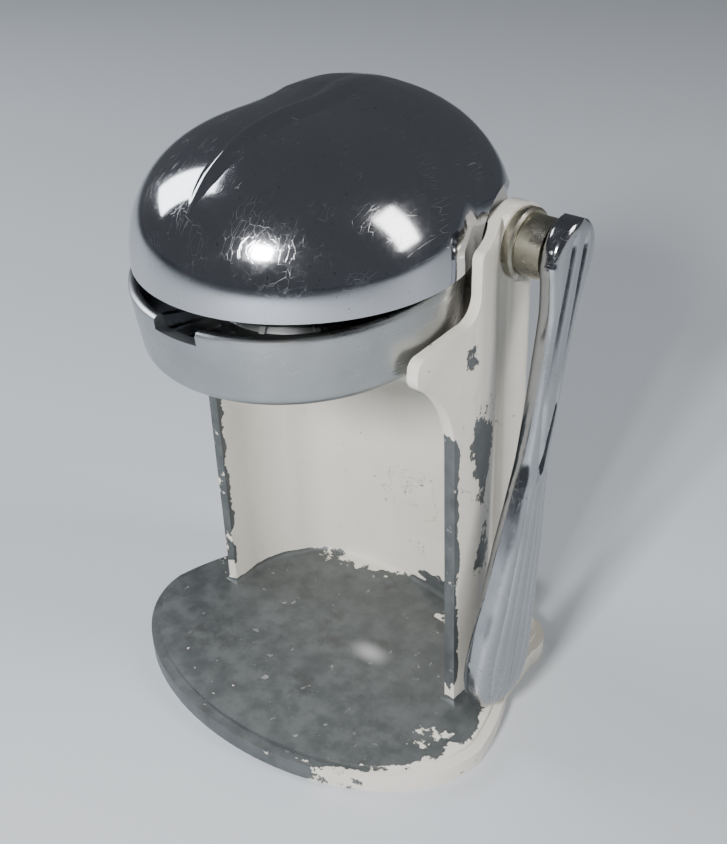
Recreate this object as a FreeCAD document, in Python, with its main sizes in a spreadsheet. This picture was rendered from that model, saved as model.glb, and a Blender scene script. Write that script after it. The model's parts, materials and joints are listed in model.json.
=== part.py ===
import FreeCAD, Part
import math
import os
from FreeCAD import Placement, Rotation, Vector

# Lever-operated citrus juicer with a tilting dome head.
# Frame: origin on the table, on the machine's centre plane and under the bowl. +X is the lever side,
# +Y is the rear, +Z is up. Everything is in millimetres and modelled closed, with the lever hanging down.

DIMS = {
    # base casting
    "plate_bottom": 0.0,
    "plate_rim_height": 6.5,
    "platform_height": 8.1,
    "platform_inset": 3.6,
    "base_half_width": 75.0,
    "base_front_depth": 47.7,
    "base_widest_y": -4.4,
    "tail_half_width": 36.0,
    "tail_rear_y": 88.0,
    # column
    "wall_outer_x": 56.0,
    "wall_inner_x": 52.0,
    "column_rear_y": 54.0,
    "column_inner_y": 50.5,
    "column_top": 182.0,
    "ear_inner_x": 44.0,
    "ear_outer_x": 50.0,
    "boss_radius": 12.5,
    "back_guard_top": 166.0,
    "hub_pocket_floor": 154.0,
    "ledge_thickness": 4.0,
    "ledge_hole_radius": 31.0,
    # crank axis
    "axis_y": 46.5,
    "axis_z": 166.5,
    "shaft_radius": 5.0,
    "running_gap": 0.05,
    "shaft_inner_x": 33.6,
    "square_start_x": 62.4,
    "shaft_end_x": 69.0,
    "square_side": 7.0,
    # bushing, hub and lever stack on the right
    "bushing_radius": 8.0,
    "collar_radius": 11.5,
    "collar_end_x": 53.5,
    "hub_radius": 9.8,
    "hub_start_x": 53.6,
    "lever_inner_x": 62.4,
    "lever_thickness": 8.2,
    "grip_thickness": 12.0,
    "lever_lean": 12.5,
    # bowl set, in the bowl's own frame with the rim plane at zero
    "bowl_centre_y": -1.5,
    "bowl_rim_z": 166.2,
    "bowl_tilt": 3.67,
    "bowl_radius": 51.5,
    "bowl_wall": 3.3,
    "bowl_height": 23.4,
    "notch_width": 17.0,
    "notch_depth": 4.0,
    "strainer_seat": 14.0,
    "strainer_thickness": 1.2,
    # head
    "head_rim_z": 167.8,
    "dome_radius": 53.0,
    "dome_centre_y": 2.6,
    "dome_height": 41.6,
    "shell_wall": 2.2,
    "cheek_half_width": 47.0,
    "cheek_cut_radius": 17.0,
    "rib_width": 7.5,
    "frame_top_z": 190.0,
    "frame_plate": 4.0,
    "frame_hub_radius": 8.5,
    "frame_hub_outer_x": 42.7,
    "frame_leg_inner_x": 38.5,
    "cup_radius": 37.0,
    "cup_wall": 2.0,
    "cup_bottom_z": 160.0,
}

doc = FreeCAD.newDocument("citrus_juicer")
sheet = doc.addObject("Spreadsheet::Sheet", "dims")
for row, (alias, number) in enumerate(DIMS.items(), start=1):
    sheet.set(f"A{row}", alias)
    sheet.set(f"B{row}", str(number))
    sheet.setAlias(f"B{row}", alias)
doc.recompute()


class Values:
    """Read access to the sheet: value.bowl_radius and so on."""

    def __getattr__(self, alias):
        return float(sheet.get(alias))


value = Values()
NODES = []


# ---------------------------------------------------------------- helpers

def finish(item, label):
    """Name an object and list it as a node."""
    item.Label = label
    NODES.append((label, item))
    return item


def new_body(name):
    return doc.addObject("PartDesign::Body", name)


def new_sketch(body, name, role, offset=None):
    """A sketch on one of the body's own origin planes, optionally shifted or turned."""
    sketch = body.newObject("Sketcher::SketchObject", name)
    plane = [item for item in body.Origin.OriginFeatures if item.Role == role][0]
    sketch.AttachmentSupport = [(plane, "")]
    sketch.MapMode = "FlatFace"
    if offset is not None:
        sketch.AttachmentOffset = offset
    return sketch


def trace(sketch, start, steps):
    """Draw a path. One point is a line, two are an arc, more are a smooth curve."""
    here = Vector(start[0], start[1], 0)
    for step in steps:
        points = [Vector(x, y, 0) for x, y in step]
        if len(points) == 1:
            sketch.addGeometry(Part.LineSegment(here, points[0]))
        elif len(points) == 2:
            sketch.addGeometry(Part.Arc(here, points[0], points[1]))
        else:
            curve = Part.BSplineCurve()
            curve.interpolate([here] + points)
            sketch.addGeometry(curve)
        here = points[-1]


def both_sides(start, steps):
    """Complete a half outline drawn on +X by its mirror image, back to the start."""
    corners = [start] + [step[-1] for step in steps]
    result = list(steps)
    for index in range(len(steps) - 1, -1, -1):
        middle = [(-x, y) for x, y in reversed(steps[index][:-1])]
        end = (-corners[index][0], corners[index][1])
        result.append(middle + [end])
    return result


def circle(sketch, radius, centre=(0, 0), alias=None):
    """A circle whose radius may follow a sheet value."""
    index = sketch.addGeometry(Part.Circle(Vector(centre[0], centre[1], 0), Vector(0, 0, 1), radius))
    if alias:
        import Sketcher
        number = sketch.addConstraint(Sketcher.Constraint("Radius", index, radius))
        sketch.setExpression(f"Constraints[{number}]", alias)
    return index


def feature(body, kind, name, sketch, **settings):
    """A sketch-based feature; text settings become expressions."""
    item = body.newObject(f"PartDesign::{kind}", name)
    item.Profile = sketch
    for key, setting in settings.items():
        if isinstance(setting, str) and setting.startswith("="):
            item.setExpression(key, setting[1:])
        else:
            setattr(item, key, setting)
    return item


def polar(body, name, original, count):
    """Repeat one feature around the body's Z axis."""
    pattern = body.newObject("PartDesign::PolarPattern", name)
    pattern.Originals = [original]
    axis = [item for item in body.Origin.OriginFeatures if item.Role == "Z_Axis"][0]
    pattern.Axis = (axis, [""])
    pattern.Angle = 360.0
    pattern.Occurrences = count
    body.Tip = pattern
    return pattern


def rod(name, radius, start, length, direction=(1, 0, 0), offset=(0, 0)):
    """A cylinder along X from (start) on the crank axis, with radius and length as expressions."""
    item = doc.addObject("Part::Cylinder", name)
    item.setExpression("Radius", str(radius))
    item.setExpression("Height", str(length))
    item.Placement = Placement(Vector(0, 0, 0), Rotation(Vector(0, 0, 1), Vector(*direction)))
    item.setExpression("Placement.Base.x", str(start))
    item.setExpression("Placement.Base.y", f"dims.axis_y + ({offset[0]})")
    item.setExpression("Placement.Base.z", f"dims.axis_z + ({offset[1]})")
    return item


def cut(name, base, tool):
    item = doc.addObject("Part::Cut", name)
    item.Base = base
    item.Tool = tool
    return item


def fuse(name, *pieces):
    item = doc.addObject("Part::MultiFuse", name)
    item.Shapes = list(pieces)
    return item


def group(name, *pieces):
    item = doc.addObject("Part::Compound", name)
    item.Links = list(pieces)
    return item


def revolve(body, name, sketch, kind="Revolution"):
    item = body.newObject(f"PartDesign::{kind}", name)
    item.Profile = sketch
    item.ReferenceAxis = (sketch, ["V_Axis"])
    item.Angle = 360.0
    return item


AXIS = (value.axis_y, value.axis_z)


# ---------------------------------------------------------------- column_base

column = new_body("column_base_body")

# U-shaped wall in plan, drawn as a right half and mirrored
wall_start = (0, value.column_inner_y)
wall_half = [
    [(16, 49.8), (30, 46.6)],
    [(39.5, 42.4), (45.2, 35.0)],
    [(50.2, 26.0), (value.wall_inner_x, 14)],
    [(value.wall_inner_x, -13)],
    [(value.wall_outer_x, -13)],
    [(value.wall_outer_x, 10)],
    [(54.4, 24.0), (48.2, 37.6)],
    [(49.8, 39.6)],
    [(51.2, 48.5)],
    [(49.8, 52.4), (45.5, value.column_rear_y)],
    [(0, value.column_rear_y)],
]
wall_sketch = new_sketch(column, "wall_plan", "XY_Plane", Placement(Vector(0, 0, 3), Rotation()))
trace(wall_sketch, wall_start, both_sides(wall_start, wall_half))
feature(column, "Pad", "wall", wall_sketch, Length="=dims.column_top - 3")

# side view: everything in front of the wall, the bowl arms and the ears is taken away
side_sketch = new_sketch(column, "side_trim", "YZ_Plane")
boss_top = value.axis_z + value.boss_radius
trace(side_sketch, (-40, -10), [
    [(5.6, -10)],
    [(4.8, 116)],
    [(3.9, 121), (-1.2, 132.7), (-9.5, 141.2)],
    [(-12.3, 143.6), (-12.6, 147.2)],
    [(-11.6, 150.4), (-8.5, 151.6)],
    [(9.5, 153.2)],
    [(15.8, 155.6), (18, 161.5)],
    [(18.2, 170.6)],
    [(18.9, 172.6), (20.8, 173.6)],
    [(44.4, boss_top - 0.17)],
    [(46.5, boss_top), (50.0, boss_top - 0.5)],
    [(55.4, 175.3), (58.9, 168.0)],
    [(90, 168.0)],
    [(90, 220)],
    [(-40, 220)],
    [(-40, -10)],
])
feature(column, "Pocket", "side_trim_cut", side_sketch, Type="ThroughAll", Midplane=True)

# round bosses that carry the crank shaft and the left pivot
for side, start in (("right", "dims.ear_inner_x"), ("left", "-dims.ear_outer_x")):
    boss_sketch = new_sketch(column, f"boss_{side}_plan", "YZ_Plane")
    boss_sketch.setExpression("AttachmentOffset.Base.z", start)
    circle(boss_sketch, value.boss_radius, AXIS, "dims.boss_radius")
    feature(column, "Pad", f"boss_{side}", boss_sketch, Length="=dims.ear_outer_x - dims.ear_inner_x")

# top of the back wall: high in the middle, low where the head's hubs turn
guard_half = [
    [(28, value.back_guard_top)],
    [(30.6, 164.9), (31.6, 162.4)],
    [(31.6, value.hub_pocket_floor)],
    [(value.ear_inner_x, value.hub_pocket_floor)],
    [(value.ear_inner_x, 230)],
    [(0, 230)],
]
guard_sketch = new_sketch(column, "guard_trim", "XZ_Plane")
trace(guard_sketch, (0, value.back_guard_top), both_sides((0, value.back_guard_top), guard_half))
feature(column, "Pocket", "guard_trim_cut", guard_sketch, Type="ThroughAll", Midplane=True)

# sloping ledge that carries the bowl
ledge_offset = Placement(
    Vector(0, value.bowl_centre_y, value.bowl_rim_z), Rotation(Vector(1, 0, 0), value.bowl_tilt)
) * Placement(Vector(0, 0, -value.bowl_height), Rotation())
ledge_sketch = new_sketch(column, "ledge_plan", "XY_Plane", ledge_offset)
ledge_half = [
    [(25.0, 51.0), (40.5, 44.4)],
    [(50.4, 31.0), (53.4, 15)],
    [(53.4, -5)],
    [(value.ledge_hole_radius, -5)],
    [(value.ledge_hole_radius, 0)],
    [(value.ledge_hole_radius * math.sin(math.radians(45)), value.ledge_hole_radius * math.cos(math.radians(45))),
     (0, value.ledge_hole_radius)],
]
trace(ledge_sketch, (0, 53.0), both_sides((0, 53.0), ledge_half))
feature(column, "Pad", "ledge", ledge_sketch, Length="=dims.ledge_thickness", Reversed=True)

# base plate: half an ellipse in front, a tail behind the column
def base_outline(inset):
    """Right half of the plate outline, moved inwards by the inset."""
    half_width = value.base_half_width - inset
    depth = value.base_front_depth - inset
    tail = value.tail_half_width - inset
    rear = value.tail_rear_y - inset
    middle = value.base_widest_y
    front = (0, middle - depth)
    quarter = [
        (half_width * math.sin(math.radians(angle)), middle - depth * math.cos(math.radians(angle)))
        for angle in range(10, 91, 10)
    ]
    return front, [
        quarter,
        [(half_width - 3.6, middle + 14.5), (half_width - 10.5, middle + 30.4)],
        [(tail + 25.5, 46.0)],
        [(tail + 23.0, 57.5), (tail + 12.0, 62.5)],
        [(tail + 2.9, 67.6), (tail, 74.0)],
        [(tail, rear - 10)],
        [(tail - 2.9, rear - 2.9), (tail - 10, rear)],
        [(0, rear)],
    ]


for name, inset, height in (
    ("plate", 0.0, "dims.plate_rim_height"),
    ("platform", value.platform_inset, "dims.platform_height"),
):
    plate_sketch = new_sketch(column, f"{name}_plan", "XY_Plane", Placement(Vector(0, 0, value.plate_bottom), Rotation()))
    plate_start, plate_half = base_outline(inset)
    trace(plate_sketch, plate_start, both_sides(plate_start, plate_half))
    feature(column, "Pad", name, plate_sketch, Length=f"={height}")

# recesses for the rubber feet
FEET = [(-50, -24), (50, -24), (-25, 77), (25, 77)]
feet_sketch = new_sketch(column, "feet_plan", "XY_Plane", Placement(Vector(0, 0, value.plate_bottom + 2.2), Rotation()))
for centre in FEET:
    circle(feet_sketch, 7.05, centre)
feature(column, "Pocket", "feet_recess", feet_sketch, Length=6.0)

# bores on the crank axis
for side, start, radius in (("right", 60, "dims.bushing_radius"), ("left", -40, "dims.shaft_radius")):
    bore_sketch = new_sketch(column, f"bore_{side}_plan", "YZ_Plane", Placement(Vector(0, 0, start), Rotation()))
    circle(bore_sketch, 8.0 if side == "right" else 5.0, AXIS, radius)
    feature(column, "Pocket", f"bore_{side}", bore_sketch, Length=20.0)
for side, start in (("right", 50.0), ("left", -60.0)):
    face_sketch = new_sketch(column, f"spot_face_{side}_plan", "YZ_Plane", Placement(Vector(0, 0, start), Rotation()))
    circle(face_sketch, 12.6, AXIS, "dims.boss_radius + 0.1")
    feature(column, "Pocket", f"spot_face_{side}", face_sketch, Length=10.0, Reversed=True)
doc.recompute()
finish(column, "column_base")

# ---------------------------------------------------------------- feet

feet = []
for index, (x, y) in enumerate(FEET):
    foot = doc.addObject("Part::Cone", f"foot_{index}")
    foot.Radius1 = 6.2
    foot.Radius2 = 7.0
    foot.setExpression("Height", "dims.plate_bottom + 2.2")
    foot.Placement = Placement(Vector(x, y, 0), Rotation())
    feet.append(foot)
finish(group("rubber_feet_set", *feet), "rubber_feet")

# ---------------------------------------------------------------- crank axis, fixed parts

bore = "dims.shaft_radius + dims.running_gap"
sleeve = rod("bushing_sleeve", "dims.bushing_radius", "dims.ear_inner_x", "dims.ear_outer_x - dims.ear_inner_x")
collar = rod("bushing_collar", "dims.collar_radius", "dims.ear_outer_x", "dims.collar_end_x - dims.ear_outer_x - 0.8")
collar_edge = doc.addObject("Part::Cone", "bushing_collar_edge")
collar_edge.setExpression("Radius1", "dims.collar_radius")
collar_edge.setExpression("Radius2", "dims.collar_radius - 0.8")
collar_edge.Height = 0.8
collar_edge.Placement = Placement(
    Vector(value.collar_end_x - 0.8, AXIS[0], AXIS[1]), Rotation(Vector(0, 0, 1), Vector(1, 0, 0))
)
bushing_bore = rod("bushing_bore", bore, 40, 20)
finish(cut("right_bushing_cut", fuse("right_bushing_solid", sleeve, collar, collar_edge), bushing_bore), "right_bushing")

pin = rod("pivot_shank", "dims.shaft_radius", -50.4, 14.6)
pin_head = rod("pivot_head", 8.6, -53.4, 3.2)
pin_slot = doc.addObject("Part::Box", "pivot_slot")
pin_slot.Length = 2.0
pin_slot.Width = 20.0
pin_slot.Height = 2.0
pin_slot.Placement = Placement(Vector(-54.2, AXIS[0] - 10, AXIS[1] - 1), Rotation())
finish(cut("left_pivot_cut", fuse("left_pivot_solid", pin, pin_head), pin_slot), "left_pivot_pin")

washers = []
for name, start, hole in (("right", 42.8, bore), ("left", -43.9, "dims.shaft_radius + 0.02")):
    ring = rod(f"washer_{name}_disc", 8.2, start, 1.1)
    washers.append(cut(f"washer_{name}", ring, rod(f"washer_{name}_hole", hole, start - 1, 4)))
finish(group("thrust_washer_set", *washers), "thrust_washers")

# ---------------------------------------------------------------- bowl set

bowl_place = Placement(
    Vector(0, value.bowl_centre_y, value.bowl_rim_z), Rotation(Vector(1, 0, 0), value.bowl_tilt)
)


def lathe(name, start, steps):
    """A body turned about its own Z axis from a half profile of radius and height."""
    body = new_body(f"{name}_body")
    sketch = new_sketch(body, f"{name}_profile", "XZ_Plane")
    trace(sketch, start, steps + [[start]])
    revolve(body, f"{name}_turned", sketch)
    return body


rim = value.bowl_radius
wall = value.bowl_wall
deep = value.bowl_height
seat = value.strainer_seat
bowl = lathe("bowl", (rim - 1.2, 0), [
    [(rim - 0.35, -0.35), (rim, -1.2)],
    [(rim - 1.2, -deep + 4.2)],
    [(rim - 2.4, -deep + 1.2), (rim - 5.4, -deep)],
    [(30.5, -deep)],
    [(22, -deep - 1.2)],
    [(10.5, -deep - 4.0)],
    [(8.4, -deep - 4.2)],
    [(8.4, -deep - 1.6)],
    [(20, -deep + 1.4)],
    [(rim - 8.0, -deep + 2.8)],
    [(rim - 5.6, -deep + 3.6), (rim - 4.7, -deep + 5.6)],
    [(rim - 4.7, -seat)],
    [(rim - wall, -seat)],
    [(rim - wall, -1.2)],
    [(rim - wall + 0.35, -0.35), (rim - wall + 1.2, 0)],
])
notch_sketch = new_sketch(bowl, "notch_plan", "XZ_Plane", Placement(Vector(0, 0, 60), Rotation()))
half_notch = value.notch_width / 2
trace(notch_sketch, (-half_notch, -value.notch_depth), [
    [(half_notch, -value.notch_depth)], [(half_notch, 5)], [(-half_notch, 5)], [(-half_notch, -value.notch_depth)],
])
feature(bowl, "Pocket", "rim_notch", notch_sketch, Length=30.0)
bowl.Placement = bowl_place
finish(bowl, "bowl")

spout = lathe("bowl_spout", (6.2, -deep - 1.7), [
    [(8.4, -deep - 1.7)],
    [(8.4, -deep - 5.2)],
    [(7.4, -42)],
    [(5.6, -42)],
    [(6.2, -deep - 5.2)],
])
spout.Placement = bowl_place
finish(spout, "bowl_spout")

sheet_top = -seat + value.strainer_thickness
strainer = lathe("strainer", (15, -seat), [
    [(rim - wall - 0.4, -seat)],
    [(rim - wall - 0.4, sheet_top)],
    [(15, sheet_top)],
])
slot_sketch = new_sketch(strainer, "slot_plan", "XY_Plane", Placement(Vector(0, 0, 0), Rotation()))
trace(slot_sketch, (30, -1.1), [
    [(42, -1.1)], [(43.1, 0), (42, 1.1)], [(30, 1.1)], [(28.9, 0), (30, -1.1)],
])
slot_cut = feature(strainer, "Pocket", "slot", slot_sketch, Length=30.0)
polar(strainer, "slots", slot_cut, 28)
strainer.Placement = bowl_place
finish(strainer, "strainer")

cone = lathe("reamer_cone", (0, 10.5), [
    [(4.0, 9.6), (7.4, 6.8)],
    [(17.6, -4.2), (26.0, sheet_top)],
    [(0, sheet_top)],
])
rib_sketch = new_sketch(cone, "rib_side", "XZ_Plane", Placement(Vector(0, 0, -0.9), Rotation()))
trace(rib_sketch, (6.0, 5.0), [
    [(9.6, 6.4)], [(19.2, -3.8), (27.4, sheet_top + 0.5)], [(6.0, sheet_top + 0.5)], [(6.0, 5.0)],
])
rib_pad = feature(cone, "Pad", "rib", rib_sketch, Length=1.8)
polar(cone, "ribs", rib_pad, 10)
cone.Placement = bowl_place
finish(cone, "reamer_cone")

# ---------------------------------------------------------------- crank

shaft_rod = rod("shaft_rod", "dims.shaft_radius", "dims.shaft_inner_x", "dims.square_start_x - dims.shaft_inner_x")
side = value.square_side


def square_bar(name, width, start, length):
    bar = doc.addObject("Part::Box", name)
    bar.Length = length
    bar.Width = width
    bar.Height = width
    bar.Placement = Placement(Vector(start, AXIS[0] - width / 2, AXIS[1] - width / 2), Rotation())
    return bar


square_end = square_bar("shaft_square", side, value.square_start_x - 1, value.shaft_end_x - value.square_start_x + 1)
shaft_solid = fuse("shaft_solid", shaft_rod, square_end)


def cross_pin(name, radius, x, length):
    """A pin that crosses the crank axis along Y."""
    return rod(name, radius, x, length, direction=(0, 1, 0), offset=(-length / 2, 0))


hub_hole = cross_pin("hub_pin_hole", 1.5, 58.0, 22)
dog_hole = cross_pin("dog_pin_hole", 1.25, 36.3, 18)
finish(cut("shaft_cut", shaft_solid, fuse("shaft_holes", hub_hole, dog_hole)), "crank_shaft")
finish(cross_pin("hub_pin_rod", 1.5, 58.0, 19.0), "hub_pin")
finish(cross_pin("dog_pin_rod", 1.25, 36.3, 15.4), "dog_pin")

hub_rod = rod("hub_rod", "dims.hub_radius", "dims.hub_start_x", "dims.lever_inner_x - dims.hub_start_x")
hub_core = rod("hub_core", "dims.shaft_radius", 50, 16)
finish(cut("hub_cut", hub_rod, fuse("hub_holes", hub_core, cross_pin("hub_side_hole", 1.5, 58.0, 24))), "lever_hub")

# the dog pushes the head's lug; it starts well before the lug, so the lever first swings free
dog = new_body("drive_dog_body")
dog_sketch = new_sketch(dog, "dog_side", "YZ_Plane", Placement(Vector(0, 0, 34.1), Rotation()))


def polar_point(radius, degrees):
    """A point in the side view; the angle is measured from straight up towards the rear."""
    angle = math.radians(degrees)
    return (AXIS[0] + radius * math.sin(angle), AXIS[1] + radius * math.cos(angle))


trace(dog_sketch, polar_point(8, -18), [
    [polar_point(12.0, -11)],
    [polar_point(12.0, 0), polar_point(12.0, 11)],
    [polar_point(8, 18)],
    [polar_point(8, 180), polar_point(8, -18)],
])
feature(dog, "Pad", "dog_plate", dog_sketch, Length=4.2)
dog_bore = new_sketch(dog, "dog_bore", "YZ_Plane", Placement(Vector(0, 0, 45), Rotation()))
circle(dog_bore, 5.0, AXIS, "dims.shaft_radius")
feature(dog, "Pocket", "dog_bore_cut", dog_bore, Length=15.0)
doc.recompute()
dog_side_hole = cross_pin("dog_side_hole", 1.25, 36.3, 20)
finish(cut("dog_cut", dog, dog_side_hole), "drive_dog")

# lever, drawn hanging straight down in its own plane and then leaned forward
lever = new_body("lever_body")
lever_sketch = new_sketch(lever, "lever_side", "YZ_Plane")
trace(lever_sketch, (0, 12), [
    [(-8.5, 8.5), (-11.2, 2.5)],
    [(-8.6, -9.0), (-6.5, -20), (-6.3, -34)],
    [(-5.7, -52), (-5.8, -66), (-7.0, -76)],
    [(-8.8, -92), (-11.6, -118), (-14.4, -141)],
    [(-14.6, -147), (-12.6, -151.8)],
    [(-9.9, -155.2), (-7.1, -155.8)],
    [(-4.2, -159.0), (0, -159.5)],
    [(4.2, -159.0), (7.1, -155.8)],
    [(9.9, -155.2), (12.6, -151.8)],
    [(14.6, -147), (14.4, -141)],
    [(11.6, -118), (8.8, -92), (7.0, -76)],
    [(5.8, -66), (5.7, -52), (6.3, -34)],
    [(6.5, -20), (8.6, -9.0), (11.2, 2.5)],
    [(8.5, 8.5), (0, 12)],
])
lever_blank = feature(lever, "Pad", "lever_blank", lever_sketch, Length="=dims.lever_thickness")
swell_sketch = new_sketch(lever, "grip_side", "YZ_Plane", Placement(Vector(0, 0, -1.9), Rotation()))
trace(swell_sketch, (-6.4, -86), [
    [(-7.6, -104), (-9.6, -124), (-11.4, -143)],
    [(-8.0, -152.6), (0, -156.5)],
    [(8.0, -152.6), (11.4, -143)],
    [(9.6, -124), (7.6, -104), (6.4, -86)],
    [(0, -80), (-6.4, -86)],
])
feature(lever, "Pad", "grip_swell", swell_sketch, Length="=dims.grip_thickness")
rib_side = new_sketch(lever, "centre_rib_side", "YZ_Plane", Placement(Vector(0, 0, value.lever_thickness - 0.5), Rotation()))
trace(rib_side, (-2.6, -12), [
    [(2.6, -12)], [(2.4, -66)], [(0, -73)], [(-2.4, -66)], [(-2.6, -12)],
])
feature(lever, "Pad", "centre_rib", rib_side, Length=1.4)
for side_name, height, reverse in (("outer", value.grip_thickness - 1.9, False), ("inner", -1.9, True)):
    for step in (-1.5, -0.5, 0.5, 1.5):
        flute = new_sketch(
            lever, f"flute_{side_name}_{step}", "YZ_Plane", Placement(Vector(0, 0, height), Rotation())
        )
        top = 2.9 * step
        low = 5.2 * step
        trace(flute, (top - 0.5, -90), [
            [(top, -88), (top + 0.5, -90)], [(low + 0.9, -146)], [(low, -149), (low - 0.9, -146)], [(top - 0.5, -90)],
        ])
        feature(lever, "Pocket", f"flute_cut_{side_name}_{step}", flute, Length=1.1, Reversed=reverse)
doc.recompute()
lever_turn = Placement(
    Vector(value.lever_inner_x, AXIS[0], AXIS[1]), Rotation(Vector(1, 0, 0), -value.lever_lean)
)
lever.Placement = lever_turn
lever_cut = cut("lever_cut", lever, square_bar("lever_square", side, value.square_start_x - 2, 9.0))
screw_hole = doc.addObject("Part::Cylinder", "lever_screw_hole")
screw_hole.Radius = 2.0
screw_hole.Height = 20.0
screw_hole.Placement = Placement(Vector(66.0, AXIS[0] + 3.5, AXIS[1]), Rotation(Vector(0, 0, 1), Vector(0, 1, 0)))
finish(cut("lever_drilled", lever_cut, screw_hole), "lever")
grub = doc.addObject("Part::Cylinder", "lever_screw_rod")
grub.Radius = 2.0
grub.Height = 6.0
grub.Placement = Placement(Vector(66.0, AXIS[0] + 3.5, AXIS[1]), Rotation(Vector(0, 0, 1), Vector(0, 1, 0)))
finish(grub, "lever_set_screw")

# ---------------------------------------------------------------- head shell

def head_volume(name, inset):
    """Dome in front and rounded hood behind, moved inwards by the inset."""
    rim_z = value.head_rim_z - (5 if inset else 0)
    radius = value.dome_radius - inset
    top = value.dome_height - inset
    turned = new_body(f"{name}_dome")
    sketch = new_sketch(turned, f"{name}_dome_profile", "XZ_Plane")
    power = 2.3
    curve = []
    for angle in range(8, 91, 9):
        share = math.radians(min(angle, 90))
        across = radius * math.cos(share) ** (2 / power)
        up = top * math.sin(share) ** (2 / power)
        curve.append((across, value.head_rim_z + up))
    curve[-1] = (0, value.head_rim_z + top)
    lower = [[(radius, rim_z)]]
    if inset:
        lower.append([(radius, value.head_rim_z)])
    trace(sketch, (0, rim_z), lower + [curve, [(0, rim_z)]])
    revolve(turned, f"{name}_dome_turned", sketch)
    turned.Placement = Placement(Vector(0, value.dome_centre_y, 0), Rotation())

    half = value.cheek_half_width - inset
    plan = new_body(f"{name}_hood")
    side_view = new_sketch(plan, f"{name}_hood_side", "YZ_Plane", Placement(Vector(0, 0, -half), Rotation()))
    trace(side_view, (0, rim_z), [
        [(0, 205.0 - inset)],
        [(8, 210.0 - inset), (16, 211.9 - inset), (26, 212.3 - inset), (36, 211.2 - inset),
         (50, 206.6 - inset), (65 - 0.7 * inset, 195.6 - 0.7 * inset)],
        [(70.0 - inset, 187.0), (71.2 - inset, 178.0)],
        [(71.2 - inset, rim_z)],
        [(0, rim_z)],
    ])
    feature(plan, "Pad", f"{name}_hood_block", side_view, Length=2 * half)
    front_view = doc.addObject("PartDesign::Body", f"{name}_hood_section")
    section = new_sketch(front_view, f"{name}_hood_front", "XZ_Plane", Placement(Vector(0, 0, -90), Rotation()))
    height = 45.6 - inset
    arch = []
    for angle in range(9, 82, 9):
        share = math.radians(angle)
        arch.append((half * math.cos(share) ** (2 / 2.4), value.head_rim_z + height * math.sin(share) ** (2 / 2.4)))
    arch.append((0, value.head_rim_z + height))
    right = [[(half, rim_z)], arch]
    if inset:
        right.insert(1, [(half, value.head_rim_z)])
    trace(section, (0, rim_z), both_sides((0, rim_z), right))
    feature(front_view, "Pad", f"{name}_hood_arch", section, Length=90.0)
    both = doc.addObject("Part::Common", f"{name}_hood_block_shape")
    both.Base = plan
    both.Tool = front_view
    top_view = doc.addObject("PartDesign::Body", f"{name}_hood_plan_body")
    outline = new_sketch(top_view, f"{name}_hood_plan", "XY_Plane", Placement(Vector(0, 0, rim_z), Rotation()))
    rear = 71.2 - inset
    plan_half = [
        [(30.0, 5.0), (half - 3.4, 21.0), (half, 34.0), (half - 1.6, 45.0), (half - 6.4, 54.0),
         (half - 15.5, 62.4 - 0.8 * inset), (16.0, rear - 2.1), (0, rear)],
    ]
    trace(outline, (0, 0), both_sides((0, 0), plan_half))
    feature(top_view, "Pad", f"{name}_hood_plan_pad", outline, Length=60.0)
    hood = doc.addObject("Part::Common", f"{name}_hood_shape")
    hood.Base = both
    hood.Tool = top_view
    return fuse(f"{name}_volume", turned, hood)


outer = head_volume("outer", 0.0)
inner = head_volume("inner", value.shell_wall)

# raised rib along the middle of the dome
rib_body = new_body("dome_rib_body")
rib_plan = new_sketch(rib_body, "dome_rib_side", "YZ_Plane")
rib_plan.setExpression("AttachmentOffset.Base.z", "-dims.rib_width / 2")
trace(rib_plan, (-38.5, 196.0), [
    [(-38.0, 199.8), (-36.0, 201.4)],
    [(-23.0, 208.3), (-9.0, 212.4), (2.6, 213.7)],
    [(20.0, 213.2), (34.0, 211.6), (46.0, 208.0)],
    [(46.0, 204.0)],
    [(2.6, 207.6)],
    [(-20.0, 202.5)],
    [(-38.5, 196.0)],
])
feature(rib_body, "Pad", "dome_rib", rib_plan, Length="=dims.rib_width")

POSTS = [(-26, 40), (26, 40), (0, 29)]
posts = []
for index, (x, y) in enumerate(POSTS):
    post = doc.addObject("Part::Cylinder", f"post_{index}")
    post.Radius = 4.2
    post.Height = 30.0
    post.setExpression("Placement.Base.z", "dims.frame_top_z")
    post.Placement.Base = Vector(x, y, value.frame_top_z)
    posts.append(post)
outer_copy = doc.addObject("Part::Common", "posts_inside")
outer_copy.Base = fuse("posts_all", *posts)
outer_copy.Tool = outer
shell_wall = cut("shell_wall_cut", fuse("shell_outside", outer, rib_body), inner)
cheek_opening = rod("cheek_opening", "dims.cheek_cut_radius", -60, 120)
shell_open = cut("shell_opened", fuse("shell_with_posts", shell_wall, outer_copy), cheek_opening)


def shell_screw(name, x, y, extra):
    """A screw from under the frame plate into a post; extra widens its hole version."""
    shank = doc.addObject("Part::Cylinder", f"{name}_shank")
    shank.Radius = 2.0
    shank.Height = 13.0
    shank.Placement = Placement(Vector(x, y, value.frame_top_z - value.frame_plate - 0.4), Rotation())
    if extra:
        return shank
    head = doc.addObject("Part::Cylinder", f"{name}_head")
    head.Radius = 3.6
    head.Height = 2.4
    head.Placement = Placement(Vector(x, y, value.frame_top_z - value.frame_plate - 2.4), Rotation())
    slot = doc.addObject("Part::Box", f"{name}_slot")
    slot.Length = 8.0
    slot.Width = 0.9
    slot.Height = 1.0
    slot.Placement = Placement(Vector(x - 4, y - 0.45, value.frame_top_z - value.frame_plate - 2.5), Rotation())
    return cut(f"{name}_piece", fuse(f"{name}_solid", shank, head), slot)


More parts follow.
